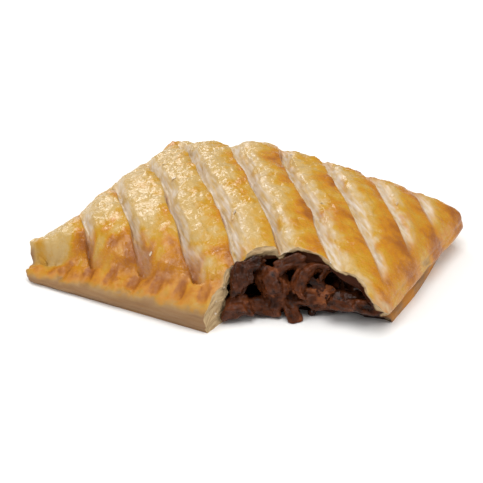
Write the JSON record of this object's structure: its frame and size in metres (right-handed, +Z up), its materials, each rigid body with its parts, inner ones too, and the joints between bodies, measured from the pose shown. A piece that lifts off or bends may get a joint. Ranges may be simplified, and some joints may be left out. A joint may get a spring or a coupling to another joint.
{
  "type": "steak slice",
  "caption": "Baked puff pastry slice, slashed across its domed lid and crimped along the front, with a bitten corner that shows a steak and gravy filling.",
  "frame": {"origin": "on the table, under the middle of the parcel's outline before the bite", "axes": "+X along the length, away from the whole front corner and towards the bitten one, +Y from the crimped front edge to the folded back edge, +Z up"},
  "size_m": [0.1379, 0.1059, 0.0317],
  "materials": {
    "baked_pastry": "egg-glazed puff pastry, golden with browner patches and pale unglazed slashes, half gloss",
    "steak_in_gravy": "dark brown braised steak in gravy, wet gloss"
  },
  "bodies": {
    "root": {"pastry": "baked_pastry", "filling": "steak_in_gravy"}
  },
  "joints": []
}
